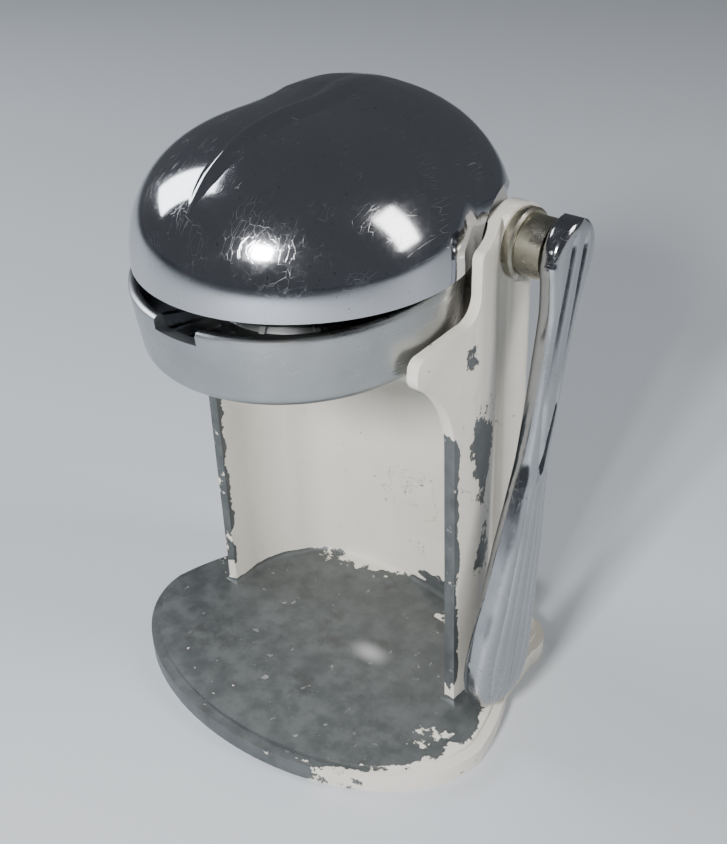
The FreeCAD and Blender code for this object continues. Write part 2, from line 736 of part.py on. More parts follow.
screw_holes = fuse("shell_screw_holes", *[shell_screw(f"shell_hole_{n}", x, y, True) for n, (x, y) in enumerate(POSTS)])
finish(cut("head_shell_cut", shell_open, screw_holes), "head_shell")
finish(group("shell_screw_set", *[shell_screw(f"shell_screw_{n}", x, y, False) for n, (x, y) in enumerate(POSTS)]),
       "shell_screws")

# ---------------------------------------------------------------- head frame

frame = new_body("head_frame_body")
top_z = value.frame_top_z
under_z = top_z - value.frame_plate
leg_in = value.frame_leg_inner_x
leg_out = value.frame_hub_outer_x
arch_sketch = new_sketch(frame, "frame_arch", "XZ_Plane", Placement(Vector(0, 0, -51), Rotation()))
arch_half = [
    [(leg_out - 6.7, top_z)],
    [(leg_out, top_z - 16)],
    [(leg_out, AXIS[1])],
    [(leg_in, AXIS[1])],
    [(leg_in, top_z - 16)],
    [(leg_in - 6.2, under_z)],
    [(0, under_z)],
]
trace(arch_sketch, (0, top_z), both_sides((0, top_z), arch_half))
feature(frame, "Pad", "arch", arch_sketch, Length=13.0)
for side, start, length in (("right", leg_in, leg_out - leg_in), ("left", -leg_out, 7.0)):
    hub_sketch = new_sketch(frame, f"frame_hub_{side}", "YZ_Plane", Placement(Vector(0, 0, start), Rotation()))
    circle(hub_sketch, value.frame_hub_radius, AXIS, "dims.frame_hub_radius")
    feature(frame, "Pad", f"frame_hub_{side}_pad", hub_sketch, Length=length)
sweep_room = new_sketch(frame, "dog_room_side", "YZ_Plane", Placement(Vector(0, 0, leg_in - 0.05), Rotation()))
circle(sweep_room, 13.0, AXIS)
feature(frame, "Pocket", "dog_room", sweep_room, Length=20.0)
tongue = new_sketch(frame, "frame_tongue", "XY_Plane", Placement(Vector(0, 0, under_z), Rotation()))
tongue_half = [
    [(8.5, -9.6), (11.4, 0.5)],
    [(leg_out - 6.4, 33)],
    [(leg_out - 6.4, 45)],
    [(0, 45)],
]
trace(tongue, (0, -13.5), both_sides((0, -13.5), tongue_half))
feature(frame, "Pad", "tongue", tongue, Length="=dims.frame_plate")

# lug the drive dog pushes, with the web that joins it to the right hub
for name, start, length, low, high in (("lug_web", leg_in, leg_out - leg_in, 5.6, 12.6), ("lug", 34.1, 6.0, 9.6, 12.6)):
    lug_sketch = new_sketch(frame, f"{name}_side", "YZ_Plane", Placement(Vector(0, 0, start), Rotation()))
    first = 67.0
    last = 79.0
    trace(lug_sketch, polar_point(low, first), [
        [polar_point(high, first)],
        [polar_point(high, (first + last) / 2), polar_point(high, last)],
        [polar_point(low, last)],
        [polar_point(low, (first + last) / 2), polar_point(low, first)],
    ])
    feature(frame, "Pad", name, lug_sketch, Length=length)
frame_bore = new_sketch(frame, "frame_bore", "YZ_Plane", Placement(Vector(0, 0, -60), Rotation()))
circle(frame_bore, 5.05, AXIS, "dims.shaft_radius + dims.running_gap")
feature(frame, "Pocket", "frame_bore_cut", frame_bore, Type="ThroughAll", Midplane=True)
doc.recompute()
cup_hole = doc.addObject("Part::Cylinder", "cup_screw_hole")
cup_hole.Radius = 3.0
cup_hole.Height = 20.0
cup_hole.Placement = Placement(Vector(0, value.bowl_centre_y, under_z - 8), Rotation())
frame_holes = fuse("frame_holes", cup_hole, *[
    shell_screw(f"frame_hole_{n}", x, y, True) for n, (x, y) in enumerate(POSTS)
])
finish(cut("head_frame_cut", frame, frame_holes), "head_frame")

# ---------------------------------------------------------------- press cup

cup_r = value.cup_radius
cup_low = value.cup_bottom_z
cup = lathe("press_cup", (3.0, under_z), [
    [(15, under_z)],
    [(24.0, under_z - 2.6), (31.6, under_z - 9.0), (cup_r - 0.6, cup_low + 10)],
    [(cup_r, cup_low + 4), (cup_r, cup_low + 0.6)],
    [(cup_r - 1.0, cup_low)],
    [(cup_r - value.cup_wall, cup_low + 0.6)],
    [(cup_r - value.cup_wall, cup_low + 4), (cup_r - value.cup_wall - 0.7, cup_low + 9.6)],
    [(29.8, under_z - 10.4), (22.8, under_z - 4.6), (14.4, under_z - 2.2)],
    [(3.0, under_z - 2.2)],
])
fin_sketch = new_sketch(cup, "fin_side", "XZ_Plane", Placement(Vector(0, 0, -0.8), Rotation()))
trace(fin_sketch, (cup_r - 1.4, cup_low + 3), [
    [(cup_r - 1.6, cup_low + 10)],
    [(30.6, under_z - 9.4), (23.4, under_z - 3.6), (15.0, under_z - 1.4)],
    [(15.0, under_z - 4.6)],
    [(22.0, under_z - 7.6), (28.0, under_z - 13.0), (cup_r - 4.0, cup_low + 3)],
    [(cup_r - 1.4, cup_low + 3)],
])
fin = feature(cup, "Pad", "fin", fin_sketch, Length=1.6)
polar(cup, "fins", fin, 8)
cup.Placement = Placement(Vector(0, value.bowl_centre_y, 0), Rotation())
finish(cup, "press_cup")


def upright(name, radius, low, high):
    """A plain cylinder on the cup's axis."""
    item = doc.addObject("Part::Cylinder", name)
    item.Radius = radius
    item.Height = high - low
    item.Placement = Placement(Vector(0, value.bowl_centre_y, low), Rotation())
    return item


screw_low = under_z - 2.2
cup_screw_solid = fuse("cup_screw_solid", upright("cup_shank", 3.0, screw_low - 1, top_z + 8.2),
                       upright("cup_screw_head", 6.0, screw_low - 2.6, screw_low))
cup_slot = doc.addObject("Part::Box", "cup_screw_slot")
cup_slot.Length = 14.0
cup_slot.Width = 1.4
cup_slot.Height = 1.2
cup_slot.Placement = Placement(Vector(-7, value.bowl_centre_y - 0.7, screw_low - 2.8), Rotation())
finish(cut("cup_screw_cut", cup_screw_solid, cup_slot), "cup_screw")
cup_washer_disc = upright("cup_washer_disc", 7.0, top_z, top_z + 1.2)
finish(cut("cup_washer_cut", cup_washer_disc, upright("cup_washer_hole", 3.1, top_z - 2, top_z + 4)), "cup_washer")
nut = doc.addObject("Part::Prism", "cup_nut_block")
nut.Polygon = 6
nut.Circumradius = 5.77
nut.Height = 5.0
nut.Placement = Placement(Vector(0, value.bowl_centre_y, top_z + 1.2), Rotation())
finish(cut("cup_nut_cut", nut, upright("cup_nut_hole", 3.0, top_z - 2, top_z + 10)), "cup_nut")

# ---------------------------------------------------------------- check and write

doc.recompute()
faults = [item.Name for item in doc.Objects if "Invalid" in item.State or "Error" in item.State]
for label, item in NODES:
    if item.Shape.isNull() or not item.Shape.isValid():
        faults.append(label)
if faults:
    raise RuntimeError("objects with faults: " + ", ".join(faults))
os.makedirs("parts", exist_ok=True)
for label, item in NODES:
    item.Shape.exportStep(f"parts/{label}.step")
    box = item.Shape.BoundBox
    print(f"{label:16s} solids {len(item.Shape.Solids)} volume {item.Shape.Volume:9.0f}",
          [round(number, 1) for number in (box.XMin, box.XMax, box.YMin, box.YMax, box.ZMin, box.ZMax)])
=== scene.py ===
import json
import math
import bmesh
import bpy
import numpy as np
from mathutils import Matrix, Vector


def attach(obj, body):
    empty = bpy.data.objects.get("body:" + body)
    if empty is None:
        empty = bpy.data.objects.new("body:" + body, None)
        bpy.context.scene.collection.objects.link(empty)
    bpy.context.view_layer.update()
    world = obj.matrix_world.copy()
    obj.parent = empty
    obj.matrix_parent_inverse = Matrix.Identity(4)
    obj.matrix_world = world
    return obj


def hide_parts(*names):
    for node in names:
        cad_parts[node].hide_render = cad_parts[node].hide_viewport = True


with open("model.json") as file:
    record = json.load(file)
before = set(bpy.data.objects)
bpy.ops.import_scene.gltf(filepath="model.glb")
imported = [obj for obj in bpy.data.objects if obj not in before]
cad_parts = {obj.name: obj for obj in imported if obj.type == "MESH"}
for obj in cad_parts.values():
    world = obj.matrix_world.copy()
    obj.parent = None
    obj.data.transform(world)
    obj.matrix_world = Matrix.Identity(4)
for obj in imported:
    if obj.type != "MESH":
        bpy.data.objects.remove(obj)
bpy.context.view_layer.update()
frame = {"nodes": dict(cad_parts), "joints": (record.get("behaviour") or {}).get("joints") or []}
nodes = frame["nodes"]

# Shapes are worked out in millimetres; materials, lights and camera are in metres.
MM = 0.001
CRANK = next(joint for joint in frame["joints"] if joint["name"] == "crank_turn")
AXIS_Y, AXIS_Z = (place / MM for place in CRANK["pos_m"][1:])


# ---------------------------------------------------------------- mesh helpers

WELD = 0.004


def make(name, verts, faces):
    """A smooth-shaded mesh object from millimetre points."""
    mesh = bpy.data.meshes.new(name)
    mesh.from_pydata([(x * MM, y * MM, z * MM) for x, y, z in verts], [], faces)
    mesh.validate()
    item = bpy.data.objects.new(name, mesh)
    bpy.context.scene.collection.objects.link(item)
    tool = bmesh.new()
    tool.from_mesh(mesh)
    bmesh.ops.remove_doubles(tool, verts=tool.verts, dist=WELD * MM)
    bmesh.ops.recalc_face_normals(tool, faces=tool.faces)
    tool.to_mesh(mesh)
    tool.free()
    for face in mesh.polygons:
        face.use_smooth = True
    return item


def sharp(item, degrees):
    """Keep edges steeper than the angle crisp while the rest is smooth."""
    item.data.set_sharp_from_angle(angle=math.radians(degrees))


def stitch(rings, closed=True, caps=False):
    """Vertices and faces between rings of equal length, with the two ends closed on request."""
    count = len(rings[0])
    verts = [point for ring in rings for point in ring]
    faces = []
    for row in range(len(rings) - 1):
        for column in range(count if closed else count - 1):
            following = (column + 1) % count
            faces.append((row * count + column, row * count + following,
                          (row + 1) * count + following, (row + 1) * count + column))
    if caps:
        base = (len(rings) - 1) * count
        faces.append(tuple(range(count - 1, -1, -1)))
        faces.append(tuple(range(base, base + count)))
    return verts, faces


def smooth_curve(table, at):
    """A smooth curve through (position, value) pairs that never overshoots them."""
    if at <= table[0][0]:
        return table[0][1]
    steps = [(last - first) / (high - low) for (low, first), (high, last) in zip(table, table[1:])]
    inner = [2 * a * b / (a + b) if a * b > 0 else 0.0 for a, b in zip(steps, steps[1:])]
    slopes = [steps[0]] + inner + [steps[-1]]
    for index, ((low, first), (high, last)) in enumerate(zip(table, table[1:])):
        if at <= high:
            span = high - low
            t = (at - low) / span
            rise = t * t * (3 - 2 * t)
            leave = slopes[index] * span * t * (1 - t) ** 2
            arrive = slopes[index + 1] * span * t * t * (1 - t)
            return first + (last - first) * rise + leave - arrive
    return table[-1][1]


def signed_power(value, exponent):
    return math.copysign(abs(value) ** exponent, value)


# ---------------------------------------------------------------- head shell

HEAD_RIM_Z = 167.8
HEAD_MIDDLE_Y = 12
SHELL_WALL = 2.2
DOME_RADIUS = 53.0
DOME_HEIGHT = 41.6
DOME_CENTRE_Y = 2.6
DOME_POWER = 2.3
HOOD_HALF_WIDTH = 46.6
HOOD_CENTRE_Y = 36.0
HOOD_REAR_LENGTH = 35.2
HOOD_FRONT_LENGTH = 42.0
HOOD_PLAN_POWER = 2.25
BOSS_CUT_RADIUS = 17.0
HEAD_TURNS = 520
HEAD_LIFTS = 150
TURN_WARP = 0.36
RIB_LOWEST_Z = 190

# Each pair is a list of positions and the values there: y, or the rise above the rim for HEAD_BLEND.
HOOD_CROWN = ([-10, 0, 8, 16, 24, 34, 42, 50, 58, 66, 71],
              [32.0, 36.4, 39.4, 42.0, 43.6, 43.6, 42.4, 40.6, 37.8, 33.8, 31.0])
HEAD_BLEND = ([0, 12, 26, 40], [80.0, 50.0, 16.0, 10.0])
RIB_HEIGHT = ([-41, -38, -34, -22, -8, 4, 20, 46], [0.0, 0.9, 1.9, 2.6, 2.7, 2.4, 1.2, 0.0])
RIB_HALF_WIDTH = ([-41, -38, -33, -20, 0, 46], [0.8, 2.2, 3.4, 4.4, 5.2, 6.5])


def head_field(x, y, z, inset):
    """Below one inside the dome or the hood; the two blend over a short distance."""
    rise = np.maximum(z - HEAD_RIM_Z, 0.0)
    across = np.hypot(x, y - DOME_CENTRE_Y) / (DOME_RADIUS - inset)
    dome = (across ** DOME_POWER + (rise / (DOME_HEIGHT - inset)) ** DOME_POWER) ** (1 / DOME_POWER)
    along = y - HOOD_CENTRE_Y
    length = np.where(along > 0, HOOD_REAR_LENGTH, HOOD_FRONT_LENGTH) - inset
    side = (np.abs(x) / (HOOD_HALF_WIDTH - inset)) ** HOOD_PLAN_POWER
    plan = side + (np.abs(along) / length) ** HOOD_PLAN_POWER
    crown = np.interp(y, *HOOD_CROWN) - inset
    hood = (plan ** (DOME_POWER / HOOD_PLAN_POWER) + (rise / crown) ** DOME_POWER) ** (1 / DOME_POWER)
    sharpness = np.interp(rise, *HEAD_BLEND)
    total = np.exp(-sharpness * np.minimum(dome, 8)) + np.exp(-sharpness * np.minimum(hood, 8))
    return -np.log(total) / sharpness


def head_points(turn, lift, inset):
    """The surface points seen from the middle of the head in many directions at once."""
    dx = np.sin(turn) * np.cos(lift)
    dy = -np.cos(turn) * np.cos(lift)
    dz = np.sin(lift)
    low = np.full(dx.shape, 5.0)
    high = np.full(dx.shape, 95.0)
    for _ in range(30):
        middle = (low + high) / 2
        x, y, z = dx * middle, HEAD_MIDDLE_Y + dy * middle, HEAD_RIM_Z + dz * middle
        inside = head_field(x, y, z, inset) < 1
        low = np.where(inside, middle, low)
        high = np.where(inside, high, middle)
    return np.stack([dx * low, HEAD_MIDDLE_Y + dy * low, HEAD_RIM_Z + dz * low], axis=-1)


def rib_height(x, y):
    """Raised rib along the crown, tapered to the nose and fading to the rear."""
    side = np.clip(np.abs(x) / np.interp(y, *RIB_HALF_WIDTH), 0.0, 1.0)
    return np.interp(y, *RIB_HEIGHT) * (1 - side ** 1.6)


def head_lower_edge(turn):
    """The lowest lift of the skin in each direction: the rim, or the cut round a boss of the column."""
    def in_cut(lift):
        point = head_points(turn, lift, 0.0)
        return np.hypot(point[:, 1] - AXIS_Y, point[:, 2] - AXIS_Z) < BOSS_CUT_RADIUS

    low = np.zeros(HEAD_TURNS)
    high = np.full(HEAD_TURNS, math.radians(60))
    cut_here = in_cut(low)
    for _ in range(24):
        middle = (low + high) / 2
        inside = in_cut(middle)
        low = np.where(inside & cut_here, middle, low)
        high = np.where(~inside & cut_here, middle, high)
    return np.where(cut_here, high, 0.0)


def build_head():
    """The chromed head: dome and hood in one skin, cut away round the bosses of the column."""
    even = np.linspace(0, 2 * np.pi, HEAD_TURNS, endpoint=False)
    turn = even - TURN_WARP * np.sin(2 * even)
    first = head_lower_edge(turn)
    share = np.linspace(0, 1, HEAD_LIFTS + 1)[:, None] ** 1.1
    lift = first[None, :] + (math.pi / 2 - first[None, :]) * share
    turn_grid = np.broadcast_to(turn[None, :], lift.shape)
    outer = head_points(turn_grid, lift, 0.0)
    inner = head_points(turn_grid, lift, SHELL_WALL)
    rib = rib_height(outer[..., 0], outer[..., 1])
    outer[..., 2] += np.where(outer[..., 2] > RIB_LOWEST_Z, rib, 0.0)
    rings = [outer[row] for row in range(HEAD_LIFTS, -1, -1)]
    rings.append(outer[0] * 0.86 + inner[0] * 0.14)
    rings.append(outer[0] * 0.2 + inner[0] * 0.8)
    rings += [inner[row] for row in range(0, HEAD_LIFTS + 1, 2)]
    verts, faces = stitch([[tuple(point) for point in ring] for ring in rings])
    item = make("head_shell_skin", verts, faces)
    sharp(item, 50)
    return item


# ---------------------------------------------------------------- lever

LEVER_X = 66.5
LEVER_LEAN = 12.5
LEVER_TOP = 12
LEVER_LENGTH = 171.5
LEVER_STEPS = 230
LEVER_AROUND = 192
GRIP_END_FROM = 140
GRIP_END_LENGTH = 19.5
GRIP_HALF_WIDTH = 14.5
GRIP_HALF_THICKNESS = 6.0
FLUTES = 5
PANEL_HALF_WIDTH = 3.3
GROOVE_WIDTH = 0.9

# (distance below the crank axis, value there)
LEVER_HALF_WIDTH = [(-12, 0.0), (-11.5, 3.3), (-10, 6.2), (-7, 9.4), (-3, 11.2), (2, 11.4), (9, 9.4),
                    (20, 6.9), (34, 6.3), (52, 5.8), (66, 5.9), (76, 7.0), (92, 8.8), (118, 11.6),
                    (138, 14.2), (146, 14.6)]
LEVER_HALF_THICKNESS = [(-12, 3.4), (-8, 4.0), (60, 4.0), (80, 4.5), (100, 5.4), (146, 6.0), (159.5, 2.6)]
FLUTE_DEPTH = [(68, 0.0), (80, 1.3), (105, 2.2), (140, 2.8), (152, 2.2), (159, 0.3)]
GROOVE_DEPTH = [(-8, 0.0), (-3, 2.0), (66, 2.0), (75, 0.0)]
PANEL_TAPER = [(48, 1.0), (73, 0.0)]


def lever_size(along):
    """Half width and half thickness of the lever at a distance below the crank axis."""
    width = smooth_curve(LEVER_HALF_WIDTH, along)
    thick = smooth_curve(LEVER_HALF_THICKNESS, along)
    if along < 2:
        width = math.sqrt(max(LEVER_TOP ** 2 - along ** 2, 0.0)) * (0.94 if along > -11.9 else 0)
    if along > GRIP_END_FROM:
        end = (along - GRIP_END_FROM) / GRIP_END_LENGTH
        width = GRIP_HALF_WIDTH * max(1 - end ** 2.6, 0.0) ** (1 / 2.2)
        thick = GRIP_HALF_THICKNESS * max(1 - end ** 3.0, 0.0) ** (1 / 2.4)
    return width, thick


def lever_ring(along):
    """One section of the lever, with the grip's flutes and the two grooves beside the pointed panel."""
    width, thick = lever_size(along)
    flute = smooth_curve(FLUTE_DEPTH, along)
    groove = smooth_curve(GROOVE_DEPTH, along)
    panel = PANEL_HALF_WIDTH * smooth_curve(PANEL_TAPER, along)
    ring = []
    for index in range(LEVER_AROUND):
        angle = 2 * math.pi * index / LEVER_AROUND
        across = signed_power(math.cos(angle), 0.62) * width
        out = signed_power(math.sin(angle), 0.5) * thick
        cut = 0.0
        if flute > 0:
            share = across / max(width, 0.01)
            lobe = 2 * ((share + 1.0) * FLUTES / 2 % 1.0) - 1
            cut = flute * (1 - math.sqrt(max(1 - lobe * lobe, 0.0)))
        if groove > 0 and out > 0:
            for middle in (-panel, panel):
                cut = max(cut, groove * math.exp(-((across - middle) / GROOVE_WIDTH) ** 2))
        cut *= abs(math.sin(angle)) ** 0.6
        out -= math.copysign(min(cut, abs(out) * 0.6), out)
        ring.append((out + LEVER_X, across, -along))
    return ring


def build_lever():
    """The chromed lever, leaning forward from the crank axis."""
    steps = [-LEVER_TOP + LEVER_LENGTH * (index / LEVER_STEPS) for index in range(LEVER_STEPS + 1)]
    rings = [lever_ring(along) for along in steps]
    verts, faces = stitch(rings, caps=True)
    lean = math.radians(-LEVER_LEAN)
    turned = []
    for x, y, z in verts:
        turned.append((x, AXIS_Y + y * math.cos(lean) - z * math.sin(lean),
                       AXIS_Z + y * math.sin(lean) + z * math.cos(lean)))
    item = make("lever_skin", turned, faces)
    sharp(item, 60)
    return item


# ---------------------------------------------------------------- bowl

BOWL_DEPTH = 23.4
BOWL_RADIUS = 51.5
BOWL_TILT = 3.67
BOWL_CENTRE_Y = -1.5
BOWL_RIM_Z = 166.2
BOWL_CORNER = 4.2
BOWL_TURNS = 240
NOTCH_DEPTH = 4.0
NOTCH_HALF_WIDTH = 8.5
LIP = 1.65
LIP_HEIGHT = 1.4


def bowl_outline():
    """Closed section of the bowl as (radius, height) with the rim at zero height."""
    under_notch = -NOTCH_DEPTH - 0.0001
    outline = [(8.4, -BOWL_DEPTH - 4.2), (10.5, -BOWL_DEPTH - 4.0), (22, -BOWL_DEPTH - 1.2),
               (30.5, -BOWL_DEPTH), (BOWL_RADIUS - 5.4, -BOWL_DEPTH)]
    for step in range(1, 9):
        angle = math.pi / 2 * step / 8
        outline.append((BOWL_RADIUS - 5.4 + BOWL_CORNER * math.sin(angle),
                        -BOWL_DEPTH + BOWL_CORNER - BOWL_CORNER * math.cos(angle)))
    outline += [(BOWL_RADIUS - 0.5, -10), (BOWL_RADIUS - 0.15, under_notch), (BOWL_RADIUS, -LIP_HEIGHT)]
    for step in range(1, 7):
        angle = math.pi * step / 6
        outline.append((BOWL_RADIUS - LIP + LIP * math.cos(angle),
                        -LIP_HEIGHT + LIP_HEIGHT * math.sin(angle)))
    outline += [(BOWL_RADIUS - 3.35, under_notch), (BOWL_RADIUS - 3.4, -13.9), (BOWL_RADIUS - 4.7, -14.0),
                (BOWL_RADIUS - 4.7, -BOWL_DEPTH + 5.6), (BOWL_RADIUS - 5.3, -BOWL_DEPTH + 3.9),
                (BOWL_RADIUS - 8.0, -BOWL_DEPTH + 2.8), (20, -BOWL_DEPTH + 1.4), (8.4, -BOWL_DEPTH - 1.6),
                (8.4, -BOWL_DEPTH - 4.2)]
    return outline


def bowl_angles():
    """Directions round the bowl, with a pair close together at each side of the notch."""
    half_notch = math.asin(NOTCH_HALF_WIDTH / BOWL_RADIUS)
    angles = []
    for step in range(BOWL_TURNS):
        turn = -math.pi + 2 * math.pi * (step + 0.5) / BOWL_TURNS
        if abs(abs(turn) - half_notch) > 0.012:
            angles.append((turn, abs(turn) < half_notch))
    for edge, first in ((-half_notch, False), (half_notch, True)):
        angles.append((edge - 1e-5, first))
        angles.append((edge + 1e-5, not first))
    return sorted(angles)


def build_bowl():
    """The juice bowl, tilted on its ledge, with a notch in the front of the rim."""
    tilt = math.radians(BOWL_TILT)
    outline = bowl_outline()
    rings = []
    for turn, lowered in bowl_angles():
        ring = []
        for radius, height in outline:
            level = min(height, -NOTCH_DEPTH) if lowered else height
            x = radius * math.sin(turn)
            y = -radius * math.cos(turn)
            ring.append((x, BOWL_CENTRE_Y + y * math.cos(tilt) - level * math.sin(tilt),
                         BOWL_RIM_Z + y * math.sin(tilt) + level * math.cos(tilt)))
        rings.append(ring)
    rings.append(rings[0])
    verts, faces = stitch(rings, closed=False)
    item = make("bowl_skin", verts, faces)
    sharp(item, 30)
    return item


# ---------------------------------------------------------------- column casting

PLATFORM_Z = 8.1
FOOT_ROUND = 5.0
CORNER_ROUND = 0.9
CORNER_DEGREES = 32


def build_column():
    """The casting with its corners softened. Short edges clamp both bevels well below the size asked."""
    mesh = nodes["column_base"].data.copy()
    item = bpy.data.objects.new("column_base_skin", mesh)
    bpy.context.scene.collection.objects.link(item)
    tool = bmesh.new()
    tool.from_mesh(mesh)
    bmesh.ops.remove_doubles(tool, verts=tool.verts, dist=0.02 * MM)
    bmesh.ops.dissolve_limit(tool, angle_limit=math.radians(0.6), verts=tool.verts, edges=tool.edges)
    feet = []
    for edge in tool.edges:
        if len(edge.link_faces) == 2 and not edge.is_convex:
            heights = [vert.co.z / MM for vert in edge.verts]
            if all(abs(height - PLATFORM_Z) < 0.2 for height in heights) and edge.calc_face_angle() > 0.6:
                feet.append(edge)
    bmesh.ops.bevel(tool, geom=feet, offset=FOOT_ROUND * MM, segments=5, profile=0.5,
                    affect="EDGES", clamp_overlap=True)
    corners = [
        edge for edge in tool.edges
        if len(edge.link_faces) == 2 and edge.calc_face_angle() > math.radians(CORNER_DEGREES)
    ]
    bmesh.ops.bevel(tool, geom=corners, offset=CORNER_ROUND * MM, segments=3, profile=0.5,
                    affect="EDGES", clamp_overlap=True)
    for face in tool.faces:
        face.smooth = True
    tool.to_mesh(mesh)
    tool.free()
    sharp(item, CORNER_DEGREES)
    return item


# ---------------------------------------------------------------- materials

class Shader:
    """A small wrapper for building a node material."""

    def __init__(self, name):
        self.material = bpy.data.materials.new(name)
        self.material.use_nodes = True
        self.tree = self.material.node_tree
        self.surface = self.tree.nodes["Principled BSDF"]
        self.place = self.add("ShaderNodeTexCoord").outputs["Object"]

    def add(self, kind, **settings):
        node = self.tree.nodes.new(kind)
        for key, setting in settings.items():
            setattr(node, key, setting)
        return node

    def feed(self, socket, value):
        if isinstance(value, bpy.types.NodeSocket):
            self.tree.links.new(value, socket)
        elif isinstance(value, tuple) and len(value) == 3 and socket.type == "RGBA":
            socket.default_value = (*value, 1.0)
        else:
            socket.default_value = value

    def noise(self, scale, detail=4.0, rough=0.55, stretch=None, offset=0.0):
        node = self.add("ShaderNodeTexNoise")
        node.inputs["Scale"].default_value = scale
        node.inputs["Detail"].default_value = detail
        node.inputs["Roughness"].default_value = rough
        mapping = self.add("ShaderNodeMapping")
        self.feed(mapping.inputs["Vector"], self.place)
        mapping.inputs["Location"].default_value = (offset, offset * 0.7, offset * 1.3)
        if stretch:
            mapping.inputs["Scale"].default_value = stretch
        self.feed(node.inputs["Vector"], mapping.outputs["Vector"])
        return node.outputs["Fac"]

    def ramp(self, value, low, high, first=0.0, last=1.0):
        node = self.add("ShaderNodeMapRange", interpolation_type="SMOOTHSTEP")
        self.feed(node.inputs["Value"], value)
        node.inputs["From Min"].default_value = low
        node.inputs["From Max"].default_value = high
        node.inputs["To Min"].default_value = first
        node.inputs["To Max"].default_value = last
        return node.outputs["Result"]

    def math(self, operation, a, b=0.0, clamp=False):
        node = self.add("ShaderNodeMath", operation=operation, use_clamp=clamp)
        self.feed(node.inputs[0], a)
        self.feed(node.inputs[1], b)
        return node.outputs["Value"]

    def mix(self, factor, a, b):
        node = self.add("ShaderNodeMix", data_type="RGBA")
        self.feed(node.inputs["Factor"], factor)
        self.feed(node.inputs[6], a)
        self.feed(node.inputs[7], b)
        return node.outputs[2]

    def blend(self, factor, a, b):
        node = self.add("ShaderNodeMix", data_type="FLOAT")
        self.feed(node.inputs[0], factor)
        self.feed(node.inputs[2], a)
        self.feed(node.inputs[3], b)
        return node.outputs[0]

    def axes(self):
        node = self.add("ShaderNodeSeparateXYZ")
        self.feed(node.inputs[0], self.place)
        return node.outputs[0], node.outputs[1], node.outputs[2]

    def scratches(self, scale, turn):
        """Thin lines in one direction, broken up so that few of them run far."""
        mapping = self.add("ShaderNodeMapping")
        self.feed(mapping.inputs["Vector"], self.place)
        mapping.inputs["Rotation"].default_value = turn
        mapping.inputs["Scale"].default_value = (1.0, 0.06, 0.5)
        cells = self.add("ShaderNodeTexVoronoi", feature="DISTANCE_TO_EDGE")
        cells.inputs["Scale"].default_value = scale
        self.feed(cells.inputs["Vector"], mapping.outputs["Vector"])
        line = self.ramp(cells.outputs["Distance"], 0.0, 0.012, 1.0, 0.0)
        return self.math("MULTIPLY", line, self.ramp(self.noise(90, 2.0, offset=scale * 0.01), 0.52, 0.66))

    def patch(self, axes, centre, spread, strength):
        """A soft-edged patch: full strength at its centre, nothing past its spread on any axis."""
        total = strength
        for value, middle, reach in zip(axes, centre, spread):
            away = self.math("ABSOLUTE", self.math("SUBTRACT", value, middle))
            total = self.math("MULTIPLY", self.ramp(away, 0.0, reach, 1.0, 0.0), total)
        return total

    def bump(self, height, strength, distance):
        node = self.add("ShaderNodeBump")
        node.inputs["Strength"].default_value = strength
        node.inputs["Distance"].default_value = distance
        self.feed(node.inputs["Height"], height)
        self.feed(self.surface.inputs["Normal"], node.outputs["Normal"])

    def finish(self, color, metallic, roughness):
        self.feed(self.surface.inputs["Base Color"], color)
        self.feed(self.surface.inputs["Metallic"], metallic)
        self.feed(self.surface.inputs["Roughness"], roughness)
        return self.material


def darker(tint, share):
    return tuple(channel * share for channel in tint)


def chrome(name, tint, base, haze):
    """Worn chrome: faint clouding, fine scratches and small pits."""
    s = Shader(name)
    cloud = s.ramp(s.noise(28, 5.0), 0.35, 0.75)
    fine = s.noise(520, 3.0, 0.7)
    lines = s.scratches(620, (0.2, 0.3, 0.5))
    lines = s.math("MAXIMUM", lines, s.scratches(760, (0.9, 0.1, 2.1)), clamp=True)
    lines = s.math("MAXIMUM", lines, s.scratches(480, (0.4, 1.2, 1.2)), clamp=True)
    rough = s.math("ADD", s.ramp(cloud, 0, 1, base, base + haze), s.math("MULTIPLY", lines, 0.22))
    rough = s.math("ADD", rough, s.ramp(fine, 0.4, 0.8, 0.0, 0.05))
    pits = s.ramp(s.noise(900, 1.0, 0.5, offset=3.0), 0.73, 0.78)
    color = s.mix(s.math("MULTIPLY", cloud, 0.25), tint, darker(tint, 0.80))
    color = s.mix(s.math("MULTIPLY", lines, 0.35), color, (0.80, 0.80, 0.80))
    color = s.mix(s.math("MULTIPLY", pits, 0.6), color, (0.16, 0.14, 0.11))
    s.bump(s.math("ADD", s.math("MULTIPLY", lines, -0.4), s.noise(60, 2.0)), 0.10, 0.0004)
    return s.finish(color, 1.0, rough)


